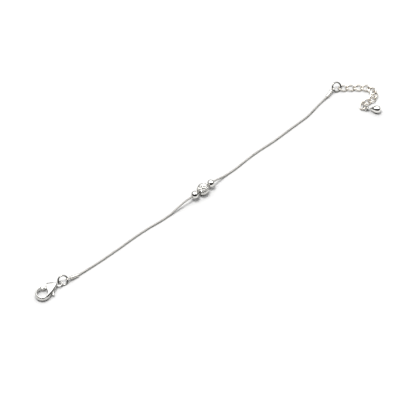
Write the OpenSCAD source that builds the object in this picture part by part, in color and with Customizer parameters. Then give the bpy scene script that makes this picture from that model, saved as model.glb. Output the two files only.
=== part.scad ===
// A beaded anklet of silver-plated metal, lying unfastened on a surface: lobster clasp, snake chain,
// three beads and a curb extender with a small drop. Millimetres, +Z up, +X from clasp to extender.

/* [Snake chain] */
// Diameter of the round snake chain
chain_d = 1.05; // [0.9:0.05:1.1]

/* [Beads] */
// Diameter of the centre bead, across the chain
bead_d = 6; // [5.6:0.1:6]
// Length of the centre bead along the chain
bead_l = 5.2; // [4.8:0.1:5.8]
// Diameter of the centre bead's hole
bead_hole_d = 1.8; // [1.4:0.1:2]
// Diameter of each small ball
ball_d = 4; // [3.6:0.1:4]
// Diameter of each small ball's hole
ball_hole_d = 1.4; // [1.3:0.05:1.5]
// How far each small ball sits from the centre bead's middle
ball_place = 5.2; // [5:0.1:5.6]

/* [Clasp] */
// Thickness of the clasp, from the surface it lies on to its top face
clasp_h = 3; // [2.8:0.1:3.2]
// Radius of the hook's outer edge
hook_r = 3.7; // [3.6:0.05:3.8]
// Width of the hook's band, seen from above
hook_band = 1.05; // [0.9:0.05:1.1]
// Thickness of the lever where it runs in the head
lever_h = 0.9; // [0.7:0.1:0.9]
// Height of the lever's gate, which closes the hook
gate_h = 2.9; // [2.2:0.1:2.9]
// Radius of the rivet that the lever turns on
pin_r = 0.45; // [0.4:0.05:0.5]
// How far the lever is turned open, in degrees
lever_open = 0; // [0:1:30]

/* [Rings] */
// Wire thickness of the two large jump rings
ring_wire_d = 0.8; // [0.7:0.05:0.8]
// Outer diameter of the clasp's jump ring
clasp_ring_d = 5.4; // [5.3:0.1:5.5]
// Outer diameter of the extender's jump ring
extender_ring_d = 5.5; // [5.4:0.1:5.6]
// Wire thickness of the small ring that carries the drop
drop_ring_wire_d = 0.6; // [0.5:0.05:0.6]
// Outer diameter of the small ring that carries the drop
drop_ring_d = 3.2; // [3.1:0.1:3.3]

/* [End caps] */
// Outer diameter of the tube that holds the chain's end
cap_d = 1.6; // [1.5:0.1:1.7]
// Length of the tube
cap_l = 4.2; // [3.8:0.1:4.4]

/* [Extender] */
// Wire thickness of a curb link
link_wire_d = 0.7; // [0.6:0.05:0.7]
// Length of a curb link, outside
link_l = 5.5; // [5.4:0.1:5.6]
// Width of a curb link, outside
link_w = 4.1; // [3.8:0.1:4.2]

/* [Drop] */
// Diameter of the drop's bulb
drop_d = 3.9; // [3.6:0.1:4]
// Length of the drop, without its loop
drop_l = 6; // [5.6:0.1:6.2]

/* [Hidden] */
// The frame's origin lies on the surface, below the middle of the anklet's bounding box. The places
// below count from the point of the surface that lies under the centre bead.
frame_x = 4.88;
frame_y = -6.92;

fine = 48;
chain_r = chain_d / 2;
axis_z = bead_d / 2;
seam_deg = 2.5;

// Clasp, drawn with its eye at the origin and its hook towards -X, the gate on the +Y side
clasp_place = [-86.6, 4.4, 0];
clasp_turn = -3;
clasp_mid = clasp_h / 2;
eye_core_r = 1.35;
eye_wire_r = 0.34;
hook_centre = [-9.5, 0.1];
hook_round = 0.3;
hook_bulge_r = 2.15;
hook_from = 70;
hook_to = 286;
lip_from = 58;
lip_t = 0.32;
hook_inner_r = hook_r - hook_band;
pivot = [-3.9, 0];
head_reach = 3.25;
// Corners of the head, x, y, radius and how far the wall draws in from its middle to its top and bottom:
// at the eye and twice on the gate side, then twice on the spine
head_corners = [[-1.75, 0, 0.55, 0.4], [-3.21, 1.24, 1, 0.95], [-4.84, 2.25, 1, 0.95]];
spine_corners = [[-5.38, -1.91, 0.6, 0.57], [-8.8, -2.81, 0.72, 0.66]];
// How the walls draw in: share of the way from the middle to the top, and share of the draw there. The
// head's edge has a wide, low bevel and the spine's a steep one.
head_edge = [[0.3, 0.03], [0.6, 0.08], [0.81, 0.18], [1, 1]];
spine_edge = [[0.3, 0], [0.6, 0.1], [1, 1]];
// Bevel where the head is cut ahead of the gate: how far in, and how deep
reach_bevel = [0.5, 0.27];
gate_line = [[-5.5, 1.2], [-6.75, 2.1], [-8.05, 2.4]];
gate_r = 0.5;
nub_place = [-5.75, -3.4];
nub_arm_r = 0.42;
nub_r = 0.45;
nub_h = 1.2;
lever_disc_r = 1.15;
lever_travel = 30;
slot_gap = 0.12;
pin_gap = 0.03;
lever_gap = 0.05;

// Jump rings: x, y, heading of the axis they lean about, lean in degrees
clasp_ring_pose = [-84.4, 4.25, -20, 46];
extender_ring_pose = [94.9, 3.7, -10, 42];
drop_ring_pose = [96.85, -15.75, -71, 43];

// End caps: the middle of the loop, then the heading and the slope of the tube away from it
clasp_cap_pose = [-82.24, 3.46, 2.05, -10, -12];
extender_cap_pose = [92.62, 4.1, 2, 192, -11];
clasp_cap_roll = 46;
extender_cap_roll = -44;
cap_wall = 0.5;
cap_bore_r = chain_r + 0.12;
loop_core_r = 0.85;
loop_wire_r = 0.26;

// Curb links: x, y and heading of each, from the extender's ring to the drop's ring
link_poses = [
    [97.5, 1.6, -41], [100.5, -0.8, -40], [103.4, -3.3, -42], [106.2, -6, -48], [107.5, -9.1, -86],
    [106.5, -12.1, -130], [103.6, -13.6, -174], [100.2, -13.2, -190], [97.2, -13.7, -150]
];
link_twist = 0.55;
link_steps = 16;
link_sides = 6;

// Drop: where it hangs on the small ring, in degrees round it from its heading, then the heading and
// the slope of the drop's axis, and its roll about that axis
drop_at = 17;
drop_heading = -54;
drop_slope = 7;
drop_roll = 41;
drop_loop_core_r = 0.7;
drop_loop_wire_r = 0.25;
drop_fullness = 1.1;
drop_steps = 20;

// Route of the snake chain's middle, from inside the clasp's end cap to inside the extender's
chain_route = [
    [-79.4, 2.98, 1.46], [-77, 2.55, 0.94], [-73, 2.3, 0.6], [-68, 2, 0.54], [-63, 1.75, 0.54],
    [-58, 1.65, 0.54], [-53, 1.55, 0.54], [-48, 1.55, 0.54], [-43, 1.6, 0.54], [-38, 1.45, 0.54],
    [-33, 1.15, 0.54], [-28, 0.6, 0.54], [-24, 0.35, 0.56], [-20, 0.3, 0.85], [-16, 0.3, 1.75],
    [-12, 0.2, 2.7], [-8, 0.05, 3], [-4, 0, 3], [0, 0, 3], [4, 0, 3], [7.6, 0, 2.95], [10.5, 0.1, 1.9],
    [13.5, 0.15, 1.05], [17, 0.1, 0.62], [21, 0, 0.54], [26, 0.25, 0.54], [31, 0.5, 0.54],
    [36, 0.55, 0.54], [41, 0.4, 0.54], [46, 0.1, 0.54], [51, 0.1, 0.54], [56, 0.2, 0.54],
    [61, 0.3, 0.54], [66, 0.3, 0.54], [71, 0.45, 0.54], [76, 1.2, 0.54], [81, 2.2, 0.54],
    [84.5, 2.6, 0.6], [87.4, 3, 0.93], [89.7, 3.49, 1.4]
];
chain_sides = 8;

module in_frame() { translate([-frame_x, -frame_y, 0]) children(); }

module at_clasp() { in_frame() translate(clasp_place) rotate([0, 0, clasp_turn]) children(); }

// A prism between two heights over the 2D shape that is passed in
module slab(low, high) { translate([0, 0, low]) linear_extrude(high - low) children(); }

// A wedge around the lever's pivot, between two headings, that reaches out to a radius
module pivot_wedge(from, to, reach) {
    polygon(concat([pivot], [for (k = [0:4]) let (a = from + (to - from) * k / 4)
        pivot + reach * [cos(a), sin(a)]]));
}

// What an arm of the lever sweeps from closed to open, seen from above, with a gap on both sides
module swept_arm(tip, half_width, reach) {
    closed = atan2(tip[1] - pivot[1], tip[0] - pivot[0]);
    pivot_wedge(closed, closed + lever_travel, reach);
    for (turn = [0, lever_travel]) translate(pivot) rotate(closed + turn)
        translate([0, -half_width - slot_gap]) square([reach, 2 * (half_width + slot_gap)]);
}

// A ring of round wire in the XY plane
module wire_ring(core_r, thick_r, seam = 0, seam_at = 0) {
    rotate([0, 0, seam_at + seam / 2]) rotate_extrude(angle = 360 - seam, $fn = fine)
        translate([core_r, 0]) circle(r = thick_r, $fn = 24);
}

// Clasp

module clasp_eye() { translate([0, 0, clasp_mid]) wire_ring(eye_core_r, eye_wire_r); }

// The band's section: a flat inner wall, an outer wall that bulges, and four rounded corners that touch both
module hook_section() {
    corner_y = clasp_mid - hook_round;
    corner_x = hook_r - hook_bulge_r + sqrt(pow(hook_bulge_r - hook_round, 2) - pow(corner_y, 2));
    bulge_y = hook_bulge_r * sin(atan2(corner_y, corner_x - hook_r + hook_bulge_r));
    for (x = [hook_inner_r + hook_round, corner_x], y = [hook_round, clasp_h - hook_round])
        translate([x, y]) circle(r = hook_round, $fn = 24);
    translate([hook_inner_r + hook_round, 0]) square([corner_x - hook_inner_r - hook_round, clasp_h]);
    translate([hook_inner_r, hook_round]) square([corner_x - hook_inner_r, clasp_h - 2 * hook_round]);
    intersection() {
        translate([hook_r - hook_bulge_r, clasp_mid]) circle(r = hook_bulge_r, $fn = 2 * fine);
        translate([hook_inner_r + hook_round, clasp_mid - bulge_y]) square([hook_band, 2 * bulge_y]);
    }
}

module clasp_hook() {
    translate([hook_centre[0], hook_centre[1], 0]) {
        rotate([0, 0, hook_from]) rotate_extrude(angle = hook_to - hook_from, $fn = fine)
            hook_section();
        rotate([0, 0, lip_from]) rotate_extrude(angle = hook_from - lip_from + 2, $fn = fine) intersection() {
            hook_section();
            translate([hook_r - lip_t, 0]) square([lip_t, clasp_h]);
        }
    }
}

// Discs at each corner, smaller the higher or lower they reach
module drawn_in(corners, edge) {
    for (c = corners, level = edge) translate([c[0], c[1], clasp_mid * (1 - level[0])])
        cylinder(r = c[2] - c[3] * level[1], h = 2 * clasp_mid * level[0], $fn = 32);
}

// The head: one wedge, cut out round the hook and ahead of the gate
module clasp_head() {
    difference() {
        hull() {
            drawn_in(head_corners, head_edge);
            drawn_in(spine_corners, spine_edge);
        }
        translate([hook_centre[0], hook_centre[1], -1])
            cylinder(r = hook_inner_r + 0.04, h = clasp_h + 2, $fn = fine);
        difference() {
            slab(-1, clasp_h + 1) pivot_wedge(85, 183, 8);
            hull() {
                slab(reach_bevel[1], clasp_h - reach_bevel[1]) translate(pivot) circle(r = head_reach, $fn = fine);
                slab(0, clasp_h) translate(pivot) circle(r = head_reach - reach_bevel[0], $fn = fine);
            }
        }
    }
}

// The slot in the head: round the pivot, out to the gate, and out to the nub over its whole travel
module lever_slot() {
    slab(clasp_mid - lever_h / 2 - slot_gap, clasp_mid + lever_h / 2 + slot_gap) {
        translate(pivot) circle(r = lever_disc_r + 2 * slot_gap, $fn = fine);
        swept_arm(gate_line[1], gate_r, head_reach + gate_r);
        swept_arm(nub_place, nub_arm_r, 4.2);
    }
}

module clasp_body() {
    color("silver") at_clasp() difference() {
        union() {
            clasp_eye();
            clasp_hook();
            clasp_head();
        }
        lever_slot();
        translate([pivot[0], pivot[1], -1]) cylinder(r = pin_r + pin_gap, h = clasp_h + 2, $fn = fine);
    }
}

module round_bar(a, b, r, low, high) {
    hull() for (p = [a, b]) translate([p[0], p[1], low]) cylinder(r = r, h = high - low, $fn = 32);
}

module clasp_lever() {
    low = clasp_mid - lever_h / 2;
    high = clasp_mid + lever_h / 2;
    color("gainsboro") at_clasp() translate([pivot[0], pivot[1], 0]) rotate([0, 0, lever_open])
        translate([-pivot[0], -pivot[1], 0]) difference() {
            union() {
                translate([pivot[0], pivot[1], low]) cylinder(r = lever_disc_r, h = lever_h, $fn = fine);
                round_bar(pivot + [-0.4, 0.4], gate_line[1], gate_r, low, high);
                difference() {
                    for (k = [0, 1])
                        round_bar(gate_line[k], gate_line[k + 1], gate_r, clasp_mid - gate_h / 2,
                            clasp_mid + gate_h / 2);
                    translate([pivot[0], pivot[1], -1])
                        cylinder(r = head_reach + 0.12, h = clasp_h + 2, $fn = fine);
                }
                round_bar(pivot, nub_place, nub_arm_r, low, high);
                translate([nub_place[0], nub_place[1], clasp_mid - nub_h / 2])
                    cylinder(r = nub_r, h = nub_h, $fn = fine);
            }
            translate([pivot[0], pivot[1], -1]) cylinder(r = pin_r + lever_gap, h = clasp_h + 2, $fn = fine);
        }
}

module clasp_pin() {
    color("silver") at_clasp() translate([pivot[0], pivot[1], 0.02])
        cylinder(r = pin_r, h = clasp_h - 0.04, $fn = fine);
}

// Rings. A ring leans about its heading, with its near side on the surface.

module leaning_ring(pose, outer_d, wire_d, seam_at) {
    core_r = (outer_d - wire_d) / 2;
    in_frame() translate([pose[0], pose[1], core_r * sin(pose[3]) + wire_d / 2])
        rotate([pose[3], 0, pose[2]]) wire_ring(core_r, wire_d / 2, seam_deg, seam_at);
}

module clasp_ring() { color("silver") leaning_ring(clasp_ring_pose, clasp_ring_d, ring_wire_d, 70); }

module extender_ring() {
    color("silver") leaning_ring(extender_ring_pose, extender_ring_d, ring_wire_d, 100);
}

module drop_ring() { color("silver") leaning_ring(drop_ring_pose, drop_ring_d, drop_ring_wire_d, 90); }

// End caps: a soldered loop, a shoulder and a tube with a blind bore for the chain's end

module end_cap(pose, roll) {
    shoulder_at = loop_core_r;
    tube_at = loop_core_r + loop_wire_r + 0.35;
    in_frame() translate([pose[0], pose[1], pose[2]]) rotate([0, -pose[4], pose[3]]) difference() {
        union() {
            rotate([roll, 0, 0]) rotate([90, 0, 0]) wire_ring(loop_core_r, loop_wire_r);
            translate([shoulder_at, 0, 0]) rotate([0, 90, 0])
                cylinder(r1 = loop_wire_r, r2 = cap_d / 2, h = tube_at - shoulder_at, $fn = fine);
            translate([tube_at, 0, 0]) rotate([0, 90, 0]) cylinder(r = cap_d / 2, h = cap_l, $fn = fine);
        }
        translate([tube_at + cap_wall, 0, 0]) rotate([0, 90, 0])
            cylinder(r = cap_bore_r, h = cap_l + 1, $fn = fine);
    }
}

module clasp_end_cap() { color("silver") end_cap(clasp_cap_pose, clasp_cap_roll); }

module extender_end_cap() { color("silver") end_cap(extender_cap_pose, extender_cap_roll); }

// Snake chain: a tube along the route, smoothed between its points, in two stretches that meet inside the
// centre bead

function curve_point(a, b, c, d, t) =
    0.5 * ((2 * b) + (c - a) * t + (2 * a - 5 * b + 4 * c - d) * t * t + (3 * b - a - 3 * c + d) * t * t * t);

function smooth_route(p) = let (n = len(p)) concat(
    [for (i = [0:n - 2], k = [0, 1])
        curve_point(p[max(i - 1, 0)], p[i], p[i + 1], p[min(i + 2, n - 1)], k / 2)],
    [p[n - 1]]);

function unit(v) = v / norm(v);

// Rings of points round a path, whose direction at each point is given
function tube_points(path, along, r, sides) = [for (i = [0:len(path) - 1])
    let (side = unit(cross([0, 0, 1], along[i])), up = cross(along[i], side))
    for (k = [0:sides - 1]) path[i] + r * (cos(k * 360 / sides) * side + sin(k * 360 / sides) * up)];

// Two triangles for each side of the tube between one ring of points and another
function tube_band(from, to, sides) = [for (k = [0:sides - 1])
    let (a = from * sides + k, b = from * sides + (k + 1) % sides, c = to * sides + (k + 1) % sides)
    each [[a, to * sides + k, c], [a, c, b]]];

module swept_tube(path, r, sides) {
    n = len(path);
    along = [for (i = [0:n - 1]) unit(path[min(i + 1, n - 1)] - path[max(i - 1, 0)])];
    polyhedron(tube_points(path, along, r, sides), concat(
        [[for (k = [0:sides - 1]) k]],
        [for (i = [0:n - 2]) each tube_band(i, i + 1, sides)],
        [[for (k = [sides - 1:-1:0]) (n - 1) * sides + k]]));
}

module chain_stretch(side) {
    route = [for (p = chain_route) if (side * p[0] >= 0) p];
    color("lightgray") in_frame() swept_tube(smooth_route(route), chain_r, chain_sides);
}

module left_chain() { chain_stretch(-1); }

module right_chain() { chain_stretch(1); }

// Beads, drilled along the chain

module drilled(x, length, hole_d) {
    difference() {
        children();
        translate([x - length, 0, axis_z]) rotate([0, 90, 0])
            cylinder(d = hole_d, h = 2 * length, $fn = fine);
    }
}

module ball(x) {
    color("whitesmoke") in_frame() drilled(x, ball_d, ball_hole_d)
        translate([x, 0, axis_z]) sphere(d = ball_d, $fn = fine);
}

module left_ball() { ball(-ball_place); }

module right_ball() { ball(ball_place); }

module centre_bead() {
    color("lightgray") in_frame() drilled(0, bead_d, bead_hole_d) intersection() {
        translate([0, 0, axis_z]) sphere(d = bead_d, $fn = fine);
        translate([-bead_l / 2, -bead_d, -bead_d]) cube([bead_l, 2 * bead_d, 3 * bead_d]);
    }
}

// Extender: curb links, each an oval of round wire with its two ends twisted opposite ways

module curb_link() {
    long_r = (link_l - link_wire_d) / 2;
    short_r = (link_w - link_wire_d) / 2;
    turns = [for (i = [0:link_steps - 1]) i * 360 / link_steps];
    path = [for (t = turns) [long_r * cos(t), short_r * sin(t), link_twist * sin(2 * t)]];
    along = [for (t = turns) unit([-long_r * sin(t), short_r * cos(t), 2 * link_twist * cos(2 * t)])];
    polyhedron(tube_points(path, along, link_wire_d / 2, link_sides),
        [for (i = [0:link_steps - 1]) each tube_band(i, (i + 1) % link_steps, link_sides)]);
}

module link(i) {
    pose = link_poses[i - 1];
    color("silver") in_frame() translate([pose[0], pose[1], link_twist + link_wire_d / 2])
        rotate([0, 0, pose[2]]) curb_link();
}

// Drop: a turned teardrop with a soldered loop

function drop_width(u) = sin(180 * u) * pow(sin(90 * u), drop_fullness);

module drop() {
    widest = max([for (k = [0:100]) drop_width(k / 100)]);
    heading = drop_ring_pose[2];
    lean = drop_ring_pose[3];
    core_r = (drop_ring_d - drop_ring_wire_d) / 2;
    level = [cos(heading), sin(heading), 0];
    rising = [-sin(heading) * cos(lean), cos(heading) * cos(lean), sin(lean)];
    ring_middle = [drop_ring_pose[0], drop_ring_pose[1], core_r * sin(lean) + drop_ring_wire_d / 2];
    color("whitesmoke") in_frame()
        translate(ring_middle + core_r * (cos(drop_at) * level + sin(drop_at) * rising))
        rotate([0, -drop_slope, drop_heading]) {
            rotate([drop_roll, 0, 0]) rotate([90, 0, 0]) wire_ring(drop_loop_core_r, drop_loop_wire_r);
            translate([drop_loop_core_r - drop_loop_wire_r / 2, 0, 0]) rotate([0, 90, 0])
                rotate_extrude($fn = fine) polygon([for (k = [0:drop_steps]) let (u = k / drop_steps)
                    [drop_d / 2 * drop_width(u) / widest, drop_l * (1 - cos(180 * u)) / 2]]);
        }
}

clasp_body();
clasp_lever();
clasp_pin();
clasp_ring();
clasp_end_cap();
left_chain();
left_ball();
centre_bead();
right_ball();
right_chain();
extender_end_cap();
extender_ring();
for (i = [1:len(link_poses)]) link(i);
drop_ring();
drop();
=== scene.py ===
import bmesh
import bpy
import numpy as np
from mathutils import Matrix, Vector


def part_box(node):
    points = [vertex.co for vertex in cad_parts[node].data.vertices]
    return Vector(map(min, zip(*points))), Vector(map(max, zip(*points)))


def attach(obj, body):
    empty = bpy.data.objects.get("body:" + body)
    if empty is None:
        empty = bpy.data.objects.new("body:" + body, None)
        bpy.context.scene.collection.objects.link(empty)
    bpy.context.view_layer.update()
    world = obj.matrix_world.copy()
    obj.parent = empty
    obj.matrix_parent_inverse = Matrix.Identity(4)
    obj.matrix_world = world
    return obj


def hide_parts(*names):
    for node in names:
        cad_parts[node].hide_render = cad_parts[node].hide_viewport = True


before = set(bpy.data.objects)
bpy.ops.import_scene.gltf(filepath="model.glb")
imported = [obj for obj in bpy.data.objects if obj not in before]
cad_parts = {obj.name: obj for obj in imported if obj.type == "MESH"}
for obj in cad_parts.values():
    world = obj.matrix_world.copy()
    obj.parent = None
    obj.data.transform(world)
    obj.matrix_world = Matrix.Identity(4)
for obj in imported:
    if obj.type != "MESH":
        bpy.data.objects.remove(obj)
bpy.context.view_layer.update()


# Snake chain. A hollow rope of small bent plates, pressed from thin brass strip and hooked round one
# another, then silver plated. Each plate is a short band with rounded edges, waved so that it nests in the
# next. The joints between them are darkened in the colour: a little tarnish, and painted shade of the gaps.
mm = 0.001
chain_radius = 0.522 * mm
plate_pitch = 0.5 * mm
plate_wave = 0.1 * mm
plate_sides = 12
# Section of a plate, going round it: place along the chain in pitches, and radius in chain radii
plate_section = np.array([(-0.5, 0.85), (-0.32, 0.96), (0, 1), (0.32, 0.96), (0.48, 0.85), (0, 0.72)])
# How deep a joint lies where its darkening, tarnish and painted shade, is full, in chain radii
joint_full = 0.15
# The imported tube's corners lie in rings of eight, ring after ring along x
tube_sides = 8
chain_bright = (0.64, 0.63, 0.605, 1)
chain_dark = (0.07, 0.068, 0.062, 1)


def cad_corners(node):
    """Every corner of a CAD node once, in the order of their x."""
    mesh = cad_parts[node].data
    corners = np.empty(len(mesh.vertices) * 3)
    mesh.vertices.foreach_get("co", corners)
    return np.unique(corners.reshape(-1, 3).round(8), axis=0)


def unit(arrows):
    """Each arrow at length one."""
    return arrows / np.linalg.norm(arrows, axis=-1, keepdims=True)


def smooth_line(knots, count):
    """Points at even steps on a line through the knots: between two of them it is the cubic whose slope at
    each knot is that from the knot before to the knot after."""
    reach = np.r_[0, np.cumsum(np.linalg.norm(np.diff(knots, axis=0), axis=1))]
    slope = np.gradient(knots, reach, axis=0)
    places = np.linspace(0, reach[-1], count)
    at = np.clip(np.searchsorted(reach, places, side="right") - 1, 0, len(knots) - 2)
    span = (reach[at + 1] - reach[at])[:, None]
    t = (places - reach[at])[:, None] / span
    return ((1 + 2 * t) * (1 - t) ** 2 * knots[at] + t * (1 - t) ** 2 * span * slope[at]
            + t * t * (3 - 2 * t) * knots[at + 1] - t * t * (1 - t) * span * slope[at + 1])


def wrapped_faces(rows, columns, close_rows=True):
    """Four corners for each cell of a grid of points that closes on itself across its columns, and across
    its rows too if close_rows."""
    row, column = np.meshgrid(np.arange(rows if close_rows else rows - 1), np.arange(columns), indexing="ij")
    below, beside = (row + 1) % rows, (column + 1) % columns
    return np.stack([row * columns + column, row * columns + beside,
                     below * columns + beside, below * columns + column], axis=-1).reshape(-1, 4)


def new_piece(name, points, faces, smooth=True, **marks):
    """A mesh object of those points and faces, with each mark kept as a number on every point."""
    mesh = bpy.data.meshes.new(name)
    mesh.from_pydata(points.reshape(-1, 3).tolist(), [], [list(face) for face in faces])
    mesh.polygons.foreach_set("use_smooth", np.full(len(mesh.polygons), smooth))
    for mark, values in marks.items():
        attribute = mesh.attributes.new(mark, "FLOAT", "POINT")
        attribute.data.foreach_set("value", np.ravel(values).astype(np.float32))
    piece = bpy.data.objects.new(name, mesh)
    bpy.context.scene.collection.objects.link(piece)
    return piece


class Value:
    """What a node puts out. A sum or product of values adds the Math node that works it out."""

    def __init__(self, finish, socket):
        self.finish, self.socket = finish, socket

    def math(self, operation, first, second):
        return self.finish.node("ShaderNodeMath", {"operation": operation}, {0: first, 1: second})

    def __add__(self, other):
        return self.math("ADD", self, other)

    def __sub__(self, other):
        return self.math("SUBTRACT", self, other)

    def __rsub__(self, other):
        return self.math("SUBTRACT", other, self)

    def __mul__(self, other):
        return self.math("MULTIPLY", self, other)

    __radd__ = __add__
    __rmul__ = __mul__


class Finish:
    """The nodes of a material, or of the light all round."""

    def __init__(self, owner):
        owner.use_nodes = True
        self.owner, self.tree = owner, owner.node_tree

    def node(self, kind, settings, inputs, output=0):
        """Adds a node with those settings, its sockets set or linked, and gives back one of its outputs."""
        made = self.tree.nodes.new(kind)
        for name, setting in settings.items():
            setattr(made, name, setting)
        self.feed(made, inputs)
        return Value(self, made.outputs[output])

    def feed(self, node, inputs):
        """Sets each of the node's sockets to a number or colour, or links it to a value."""
        for name, given in inputs.items():
            if isinstance(given, Value):
                self.tree.links.new(given.socket, node.inputs[name])
            else:
                node.inputs[name].default_value = given

    def blend(self, share, first, second):
        """The first colour, giving way to the second as share goes from 0 to 1."""
        return self.node("ShaderNodeMix", {"data_type": "RGBA"}, {0: share, 6: first, 7: second}, output=2)

    def place(self):
        """Where a point is on the piece."""
        return self.node("ShaderNodeTexCoord", {}, {}, output="Object")

    def stretched(self, along, across):
        """The place, with its scale along x and across it, for marks that run one way."""
        return self.node("ShaderNodeMapping", {}, {"Vector": self.place(), "Scale": (along, across, across)})

    def noise(self, where, scale, detail):
        """Cloudy noise of about one cloud for each 1 / scale metres."""
        return self.node("ShaderNodeTexNoise", {}, {"Vector": where, "Scale": scale, "Detail": detail},
                         output="Fac")

    def clear_step(self, value, low, high):
        """0 up to low, 1 from high, and a rise between them that starts and ends gently."""
        return self.node("ShaderNodeMapRange", {"interpolation_type": "SMOOTHSTEP"},
                         {"Value": value, "From Min": low, "From Max": high})


# Tarnish gathers where the cloud noise is above the first of these and is full at the second
cloud_start, cloud_full = 0.45, 0.85
cloud_size = 1.4 * mm
cloud_detail = 3
tarnish_roughness = 0.25
hairline_length = 2.5 * mm
hairline_width = 0.12 * mm
hairline_depth = 0.004 * mm
hairline_strength = 0.12
hairline_detail = 4


def plated(name, bright, dark, roughness, cloud=0.25, mark=None, mark_share=0.0, lines=0.03):
    """Silver plate over brass: bright metal with faint clouds of tarnish, darker still where the mark is
    high, which stands for tarnish and painted shade in hollows, and hairlines from polishing that show in
    the gloss."""
    finish = Finish(bpy.data.materials.new(name))
    clouds = finish.noise(finish.place(), 1 / cloud_size, cloud_detail)
    hairlines = finish.noise(finish.stretched(1 / hairline_length, 1 / hairline_width), 1, hairline_detail)
    tarnish_and_painted_shade = finish.clear_step(clouds, cloud_start, cloud_full) * cloud
    if mark:
        marked = finish.node("ShaderNodeAttribute", {"attribute_name": mark}, {}, output="Fac")
        # Where the mark is high: painted shade of hollows and gaps, with some tarnish
        tarnish_and_painted_shade = tarnish_and_painted_shade + marked * mark_share
    relief = finish.node("ShaderNodeBump", {}, {
        "Height": hairlines, "Strength": hairline_strength, "Distance": hairline_depth})
    finish.feed(finish.tree.nodes["Principled BSDF"], {
        "Metallic": 1.0,
        "Base Color": finish.blend(tarnish_and_painted_shade, bright, dark),
        "Roughness": tarnish_and_painted_shade * tarnish_roughness + hairlines * lines + roughness,
        "Normal": relief})
    return finish.owner


def dress(piece, material):
    """Gives a piece that one material."""
    piece.data.materials.clear()
    piece.data.materials.append(material)


def plates_along(line):
    """Plates at even steps on the line. Each turns its section round the line: along it by the section's
    first number plus a wave of two crests a turn, and out from it by the section's second number."""
    along = unit(np.gradient(line, axis=0))
    across = unit(np.cross((0, 0, 1), along))
    up = np.cross(along, across)
    turn = np.arange(plate_sides) * 2 * np.pi / plate_sides
    shift = plate_section[None, :, 0] * plate_pitch + plate_wave * np.cos(2 * turn)[:, None]
    out = plate_section[:, 1] * chain_radius
    turn = turn[:, None, None]
    ring = np.cos(turn) * across[:, None, None] + np.sin(turn) * up[:, None, None]
    return line[:, None, None] + shift[..., None] * along[:, None, None] + out[:, None] * ring


def middle_line(node):
    """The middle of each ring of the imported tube's corners, in the order of x."""
    return cad_corners(node).reshape(-1, tube_sides, 3).mean(axis=1).round(7)


chain_knots = np.concatenate([middle_line("left_chain"), middle_line("right_chain")])
chain_knots = np.unique(chain_knots, axis=0)
chain_length = np.linalg.norm(np.diff(chain_knots, axis=0), axis=1).sum()
plate_points = plates_along(smooth_line(chain_knots, int(chain_length / plate_pitch)))
plate_faces = wrapped_faces(plate_sides, len(plate_section))
plate_starts = np.arange(len(plate_points)) * plate_sides * len(plate_section)
chain_faces = (plate_starts[:, None, None] + plate_faces).reshape(-1, 4)
joint_depth = np.clip((1 - plate_section[:, 1]) / joint_full, 0, 1)
chain = new_piece("snake_chain_plates", plate_points, chain_faces,
                  joint=np.broadcast_to(joint_depth, plate_points.shape[:3]))
# The joint mark paints shade into the gaps between plates, with a little tarnish
chain_silver = plated("chain_silver_plate", chain_bright, chain_dark, roughness=0.75,
                      mark="joint", mark_share=0.6)
dress(chain, chain_silver)
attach(chain, "anklet")
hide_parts("left_chain", "right_chain")


# Polished balls. Two hollow brass balls, pressed and soldered, drilled along the chain with their mouths
# rolled in, then plated and polished to a mirror. They are threaded on the chain beside the centre bead.
mouth_fillet = 0.16 * mm
mouth_steps = 7
face_steps = 41
wall_steps = 9
ball_sides = 64
ball_bright = (0.72, 0.71, 0.685, 1)
ball_dark = (0.54, 0.52, 0.48, 1)


def turned(middle, axis, profile, sides):
    """A profile of (place along the axis, radius) carried round the axis through the middle."""
    across = unit(np.cross((0, 0, 1), axis))
    up = np.cross(axis, across)
    turn = np.arange(sides)[:, None] * 2 * np.pi / sides
    ring = np.cos(turn) * across + np.sin(turn) * up
    return middle + profile[:, None, :1] * axis + profile[:, None, 1:] * ring


def arc(middle, radius, start, end, count):
    """Points on an arc in a profile, from one angle to another in degrees."""
    angle = np.radians(np.linspace(start, end, count))
    return np.array(middle) + radius * np.stack([np.cos(angle), np.sin(angle)], axis=1)


def drilled_ball(node):
    """A ball with a drilled hole, as a profile turned round the chain's line: a rolled mouth, the ball's
    face, the other mouth and the hole's wall. A mouth's fillet touches the hole and the ball from inside."""
    low, high = (np.array(corner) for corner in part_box(node))
    radius = (high[2] - low[2]) / 2
    hole = np.sqrt(radius ** 2 - ((high[0] - low[0]) / 2) ** 2)
    fillet_y = hole + mouth_fillet
    fillet_x = np.sqrt((radius - mouth_fillet) ** 2 - fillet_y ** 2)
    lean = np.degrees(np.arctan2(fillet_y, fillet_x))
    right = arc((fillet_x, fillet_y), mouth_fillet, -90, lean, mouth_steps)
    face = arc((0, 0), radius, lean, 180 - lean, face_steps)[1:-1]
    left = (right * (-1, 1))[::-1]
    wall_places = np.linspace(-fillet_x, fillet_x, wall_steps)[1:-1]
    wall = np.stack([wall_places, np.full(len(wall_places), hole)], axis=1)
    profile = np.concatenate([right, face, left, wall])
    return turned((low + high) / 2, np.array((1.0, 0, 0)), profile, ball_sides)


ball_silver = plated("mirror_silver_plate", ball_bright, ball_dark, roughness=0.03, cloud=0.12, lines=0.015)
for node in ("left_ball", "right_ball"):
    surface = drilled_ball(node)
    ball = new_piece(node + "_polished", surface, wrapped_faces(*surface.shape[:2]))
    dress(ball, ball_silver)
    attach(ball, "anklet")
    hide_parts(node)


# Centre bead. A brass ball with flat, drilled ends. Its face is cut all over with small diamond-shaped
# facets that sink to their middles, so that each flashes or goes dark by itself, and is then plated.
cut_columns = 28
cut_rows = 13
# Latitude of the first and last row of cuts, in degrees
cut_reach = 58.0
cut_depth = 0.2 * mm
bead_hole = 0.9 * mm
bead_chamfer = 0.12 * mm
# A sunk point's mark is 1, for tarnish and painted shade in the pit, and the flat ends hold more, as painted
# shade
end_shade_mark = 2
cut_bright = (0.74, 0.73, 0.7, 1)
cut_dark = (0.25, 0.24, 0.22, 1)


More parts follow.
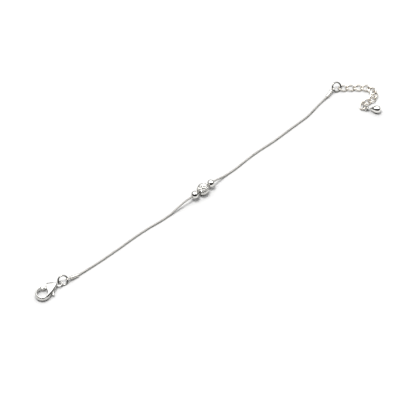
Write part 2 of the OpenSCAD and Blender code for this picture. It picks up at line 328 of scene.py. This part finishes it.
def cut_bead(node):
    """The bead's face is a grid of latitude and turn on its ball. Every second crossing sinks by the cut's
    depth, in a checkerboard, so that each diamond has four slopes that meet at its middle. At each end a
    flat face and a chamfer lead into the hole, whose wall closes the grid. Gives points and their marks."""
    low, high = (np.array(corner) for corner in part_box(node))
    radius, half = (high[2] - low[2]) / 2, (high[0] - low[0]) / 2
    latitude = np.radians(np.linspace(cut_reach, -cut_reach, cut_rows))[:, None]
    turn = (np.arange(cut_columns) * 2 * np.pi / cut_columns)[None, :]
    sunk = (np.arange(cut_rows)[:, None] + np.arange(cut_columns)[None, :]) % 2
    out = radius - cut_depth * sunk
    cuts = np.stack(np.broadcast_arrays(out * np.sin(latitude), out * np.cos(latitude) * np.cos(turn),
                                        out * np.cos(latitude) * np.sin(turn)), axis=-1)
    rim = np.sqrt(radius ** 2 - half ** 2)
    ends = np.array([(half, rim), (half, bead_hole + bead_chamfer), (half - bead_chamfer, bead_hole)])
    rings = [np.stack(np.broadcast_arrays(place, r * np.cos(turn), r * np.sin(turn)), axis=-1)
             for place, r in [*ends[::-1], *(ends * (-1, 1))]]
    grid = np.concatenate([*rings[:len(ends)], cuts, *rings[len(ends):]])
    end_shade_marks = np.full((len(ends), cut_columns), end_shade_mark)
    return (grid.reshape(-1, cut_columns, 3) + (low + high) / 2,
            np.concatenate([end_shade_marks, sunk, end_shade_marks]))


def diamond_faces(rows, columns, marks):
    """Two triangles for each cell of the grid, parted along the diagonal that joins its two high corners."""
    cells = wrapped_faces(rows, columns)
    low_first = marks.ravel()[cells[:, 0]] + marks.ravel()[cells[:, 2]] > 0
    kept = np.where(low_first[:, None], np.roll(cells, 1, axis=1), cells)
    return np.concatenate([kept[:, [0, 1, 2]], kept[:, [0, 2, 3]]])


bead_grid, bead_marks = cut_bead("centre_bead")
bead_faces = diamond_faces(*bead_grid.shape[:2], bead_marks)
bead = new_piece("centre_bead_cut", bead_grid, bead_faces, smooth=False, cut=bead_marks)
# The cut mark paints shade, with some tarnish, into the diamonds' sunk middles, and darker shade on the flat
# ends
cut_silver = plated("cut_silver_plate", cut_bright, cut_dark, roughness=0.08, mark="cut", mark_share=0.35)
dress(bead, cut_silver)
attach(bead, "anklet")
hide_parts("centre_bead")


# End caps. Short drawn brass tubes, each with a soldered wire loop and the chain's end glued and pinched
# inside. The solids have their true shape, so they stay and take the finish.
cap_bright = (0.72, 0.705, 0.67, 1)
cap_dark = (0.45, 0.39, 0.31, 1)

cap_silver = plated("cap_silver_plate", cap_bright, cap_dark, roughness=0.12, cloud=0.4)
for node in ("clasp_end_cap", "extender_end_cap"):
    dress(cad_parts[node], cap_silver)


# Jump rings. Round brass wire wound on a rod, sawn into rings, plated and closed so tightly that the cut
# doesn't show. One holds the clasp, one the curb chain and a small one the drop.
ring_bright = (0.3, 0.295, 0.28, 1)
ring_dark = (0.16, 0.14, 0.12, 1)

ring_silver = plated("ring_silver_plate", ring_bright, ring_dark, roughness=0.2, cloud=0.4)
for node in ("clasp_ring", "extender_ring", "drop_ring"):
    dress(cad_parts[node], ring_silver)


# Clasp. The body and its lever are cast in brass, tumbled until every edge is round, and plated. The lever
# turns on a rivet through the head.
merge_distance = 0.001 * mm
tumble_cell = 0.07 * mm
# How often the cells are smoothed: the lever is smaller and comes out rounder
body_rounds = 6
lever_rounds = 18
clasp_bright = (0.6, 0.595, 0.575, 1)
clasp_dark = (0.3, 0.26, 0.21, 1)

clasp_silver = plated("cast_silver_plate", clasp_bright, clasp_dark, roughness=0.08, cloud=0.35)


def tumbled(node, rounds):
    """The node's solid after tumbling: a merged copy is rebuilt in even cells, in millimetres, and smoothed
    so many times."""
    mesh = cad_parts[node].data.copy()
    solid = bmesh.new()
    solid.from_mesh(mesh)
    bmesh.ops.remove_doubles(solid, verts=solid.verts, dist=merge_distance)
    solid.to_mesh(mesh)
    solid.free()
    mesh.transform(Matrix.Scale(1 / mm, 4))
    rough = bpy.data.objects.new(node + "_rough", mesh)
    bpy.context.scene.collection.objects.link(rough)
    cells = rough.modifiers.new("cells", "REMESH")
    cells.mode = "VOXEL"
    cells.voxel_size = tumble_cell / mm
    cells.use_smooth_shade = True
    rounding = rough.modifiers.new("rounding", "SMOOTH")
    rounding.factor = 0.5
    rounding.iterations = rounds
    bpy.context.view_layer.update()
    shaped = bpy.data.meshes.new_from_object(rough.evaluated_get(bpy.context.evaluated_depsgraph_get()))
    bpy.data.objects.remove(rough)
    shaped.transform(Matrix.Scale(mm, 4))
    piece = bpy.data.objects.new(node + "_cast", shaped)
    bpy.context.scene.collection.objects.link(piece)
    return piece


for node, body, rounds in (("clasp_body", "anklet", body_rounds), ("clasp_lever", "lever", lever_rounds)):
    casting = tumbled(node, rounds)
    dress(casting, clasp_silver)
    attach(casting, body)
    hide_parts(node)
dress(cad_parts["clasp_pin"], clasp_silver)


# Curb links. Ovals of round brass wire, twisted a little so that the chain lies flat, closed and plated
# after they are linked, which leaves them a shade warmer than the castings.
link_count = 9
link_wire = 0.335 * mm
link_twist = 0.55 * mm
# How far the round wire stays within the solid's reach
link_ease = 0.01 * mm
link_steps = 72
wire_sides = 14
# The higher this is, the closer the tarnish and painted shade keep to the middle of a link's two bends
bend_sharpness = 8
link_bright = (0.68, 0.645, 0.585, 1)
link_dark = (0.42, 0.35, 0.27, 1)

# The bend mark paints shade, with some tarnish, where each link's two ends hold its neighbours
link_silver = plated("link_silver_plate", link_bright, link_dark, roughness=0.32, cloud=0.4,
                     mark="bend", mark_share=0.3)


def wire_along(path, up, radius, sides):
    """Round wire on a closed path: at each point a circle across the path, starting square to up."""
    along = unit(np.roll(path, -1, axis=0) - np.roll(path, 1, axis=0))
    across = unit(np.cross(up, along))
    rise = np.cross(along, across)
    turn = np.arange(sides)[None, :, None] * 2 * np.pi / sides
    return path[:, None] + radius * (np.cos(turn) * across[:, None] + np.sin(turn) * rise[:, None])


def curb_link(node):
    """The wire's middle is an oval that rises twice a turn: x is a cosine, y a sine, and z a sine at twice
    the pace. The solid says where the link lies, which way it points, how long and how wide it is. The mark
    is high at the oval's two ends."""
    corners = cad_corners(node)
    middle = corners.mean(axis=0)
    heading = np.linalg.svd(corners[:, :2] - middle[:2])[2][0]
    axes = np.array([(*heading, 0), (-heading[1], heading[0], 0), (0, 0, 1)])
    reach = np.abs((corners - middle) @ axes.T).max(axis=0) - link_wire - link_ease
    turn = np.arange(link_steps) * 2 * np.pi / link_steps
    path = np.stack([reach[0] * np.cos(turn), reach[1] * np.sin(turn),
                     link_twist * np.sin(2 * turn)], axis=1)
    bend = np.abs(np.cos(turn)) ** bend_sharpness
    return wire_along(middle + path @ axes, (0, 0, 1), link_wire, wire_sides), bend


for number in range(1, link_count + 1):
    surface, bend = curb_link(f"link_{number}")
    link = new_piece(f"link_{number}_wire", surface, wrapped_faces(*surface.shape[:2]),
                     bend=np.broadcast_to(bend[:, None], surface.shape[:2]))
    dress(link, link_silver)
    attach(link, "anklet")
    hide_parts(f"link_{number}")


# Drop. A solid brass teardrop, turned and polished to a mirror, with a loop of thin wire soldered to its
# tip, which hangs it on the small ring.
drop_diameter = 3.88 * mm
drop_length = 6.0 * mm
drop_fullness = 1.1
drop_rows = 72
drop_sides = 64
# The outline starts just behind the tip, inside the loop's wire, and ends in a tiny flat at the tail
first_share, last_share = 0.03, 0.995
loop_reach = 0.7 * mm
loop_wire = 0.25 * mm
loop_steps = 48
# The solid's corners within this many loop radii of its end belong to the loop
loop_depth = 1.6
drop_bright = (0.8, 0.79, 0.76, 1)
drop_dark = (0.55, 0.53, 0.48, 1)

drop_silver = plated("drop_silver_plate", drop_bright, drop_dark, roughness=0.035, cloud=0.15, lines=0.02)


def drop_profile():
    """Half the teardrop's outline. Its width is the sine of a half turn from tip to tail, times a power of
    the sine of a quarter turn, which moves the bulb towards the tail. Rows crowd at both ends, as 1 less the
    cosine of the half turn."""
    share = np.linspace(first_share, last_share, drop_rows)
    width = np.sin(np.pi * share) * np.sin(np.pi / 2 * share) ** drop_fullness
    place = drop_length * (1 - np.cos(np.pi * share)) / 2
    return np.stack([place, drop_diameter / 2 * width / width.max()], axis=1)


def lie_of_drop(node):
    """The loop's middle, the drop's axis and the loop's flat side: the axis is the way in which the solid's
    corners spread most, away from the loop, and the loop's flat side that in which its own spread least."""
    corners = cad_corners(node)
    middle = corners.mean(axis=0)
    axis = np.linalg.svd(corners - middle, full_matrices=False)[2][0]
    reach = (corners - middle) @ axis
    out = np.linalg.norm(corners - middle - reach[:, None] * axis, axis=1)
    axis = axis if reach[out.argmax()] > 0 else -axis
    reach = (corners - middle) @ axis
    loop = corners[reach < reach.min() + loop_depth * loop_reach]
    flat = np.linalg.svd(loop - loop.mean(axis=0), full_matrices=False)[2][2]
    flat = unit(flat - flat @ axis * axis)
    return middle + (reach.min() + loop_reach + loop_wire) * axis, axis, flat


loop_middle, drop_axis, loop_flat = lie_of_drop("drop")
drop_tip = loop_middle + (loop_reach - loop_wire / 2) * drop_axis
drop_surface = turned(drop_tip, drop_axis, drop_profile(), drop_sides)
turn = (np.arange(loop_steps) * 2 * np.pi / loop_steps)[:, None]
loop_side = np.cross(loop_flat, drop_axis)
loop_path = loop_middle + loop_reach * (np.cos(turn) * drop_axis + np.sin(turn) * loop_side)
loop_surface = wire_along(loop_path, loop_flat, loop_wire, wire_sides)
drop_points = drop_rows * drop_sides
tip_face = range(drop_sides)
tail_face = range(drop_points - 1, drop_points - drop_sides - 1, -1)
drop_faces = [*wrapped_faces(drop_rows, drop_sides, close_rows=False)[:, ::-1], tip_face, tail_face,
              *(wrapped_faces(*loop_surface.shape[:2]) + drop_points)]
all_points = np.concatenate([drop_surface.reshape(-1, 3), loop_surface.reshape(-1, 3)])
drop = new_piece("drop_polished", all_points, drop_faces)
dress(drop, drop_silver)
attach(drop, "anklet")
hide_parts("drop")


# Table, light and camera. A white table top under a wide white ceiling of soft light, with a soft lamp
# almost overhead. The far wall is dim, and the side that the camera looks from is dark, which polished
# metal shows as a dark lens shape.
table_half = 3.0
table_colour = (0.52, 0.52, 0.518, 1)
table_roughness = 0.9
# The camera's turn from -Y towards +X and its height over the table, in degrees
view_turn = -41.33
view_height = 55.0
view_distance = 0.8
view_middle = Vector((-0.00912, -0.00175, 0))
near_clip = 0.01
lens = 141.3
sensor = 36.0
ceiling_light = 2.4
# Sine of the height over the horizon where the ceiling starts, and where it is fully lit
ceiling_foot = 0.5
ceiling_full = 0.6
far_wall_light = 0.12
# Dark where a ray's height is under dark_reach plus dark_rise times its run to the camera's side
dark_reach = 0.42
dark_rise = 1.5
dark_soft = 0.06
dark_side_light = 0.012
key_power = 7.0
key_size = 0.3
# Turn from the camera's side, height and distance of the lamp
key_turn = 240
key_height = 78
key_distance = 0.9


def towards(turn_degrees, height_degrees):
    """The direction to something at that turn from -Y towards +X, and that height over the table."""
    turned_by, height = np.radians((turn_degrees, height_degrees))
    return Vector((np.sin(turned_by) * np.cos(height), -np.cos(turned_by) * np.cos(height), np.sin(height)))


def grey(level):
    """A grey of that brightness."""
    return level, level, level, 1


table_corners = table_half * np.array([(-1, -1, 0), (1, -1, 0), (1, 1, 0), (-1, 1, 0)])
table = new_piece("table", table_corners, [(0, 1, 2, 3)])
table_white = Finish(bpy.data.materials.new("table_white"))
table_white.feed(table_white.tree.nodes["Principled BSDF"], {
    "Base Color": table_colour, "Roughness": table_roughness, "Specular IOR Level": 0.0})
dress(table, table_white.owner)

ceiling = Finish(bpy.data.worlds.new("ceiling"))
bpy.context.scene.world = ceiling.owner
ray = ceiling.node("ShaderNodeTexCoord", {}, {}, output="Generated")


def part_along(direction):
    """How much of the ray runs along a direction."""
    return ceiling.node("ShaderNodeVectorMath", {"operation": "DOT_PRODUCT"}, {0: ray, 1: direction},
                        output="Value")


height = part_along((0, 0, 1))
edge = height - part_along(towards(view_turn, 0)) * dark_rise - dark_reach
lit_share = ceiling.clear_step(height, ceiling_foot, ceiling_full)
far_side = ceiling.blend(lit_share, grey(far_wall_light), grey(1))
out_of_dark = ceiling.clear_step(edge, -dark_soft, dark_soft)
ceiling.feed(ceiling.tree.nodes["Background"], {
    "Color": ceiling.blend(out_of_dark, grey(dark_side_light), far_side),
    "Strength": ceiling_light})

key = bpy.data.objects.new("key_light", bpy.data.lights.new("key_light", "AREA"))
key.data.size = key_size
key.data.energy = key_power
key.location = towards(view_turn + key_turn, key_height) * key_distance
key.rotation_euler = (-key.location).to_track_quat("-Z", "Y").to_euler()
bpy.context.scene.collection.objects.link(key)

camera = bpy.data.objects.new("camera", bpy.data.cameras.new("camera"))
camera.data.sensor_width = sensor
camera.data.lens = lens
camera.data.clip_start = near_clip
camera.location = view_middle + view_distance * towards(view_turn, view_height)
camera.rotation_euler = (view_middle - camera.location).to_track_quat("-Z", "Y").to_euler()
bpy.context.scene.collection.objects.link(camera)
bpy.context.scene.camera = camera
bpy.context.scene.view_settings.view_transform = "Standard"
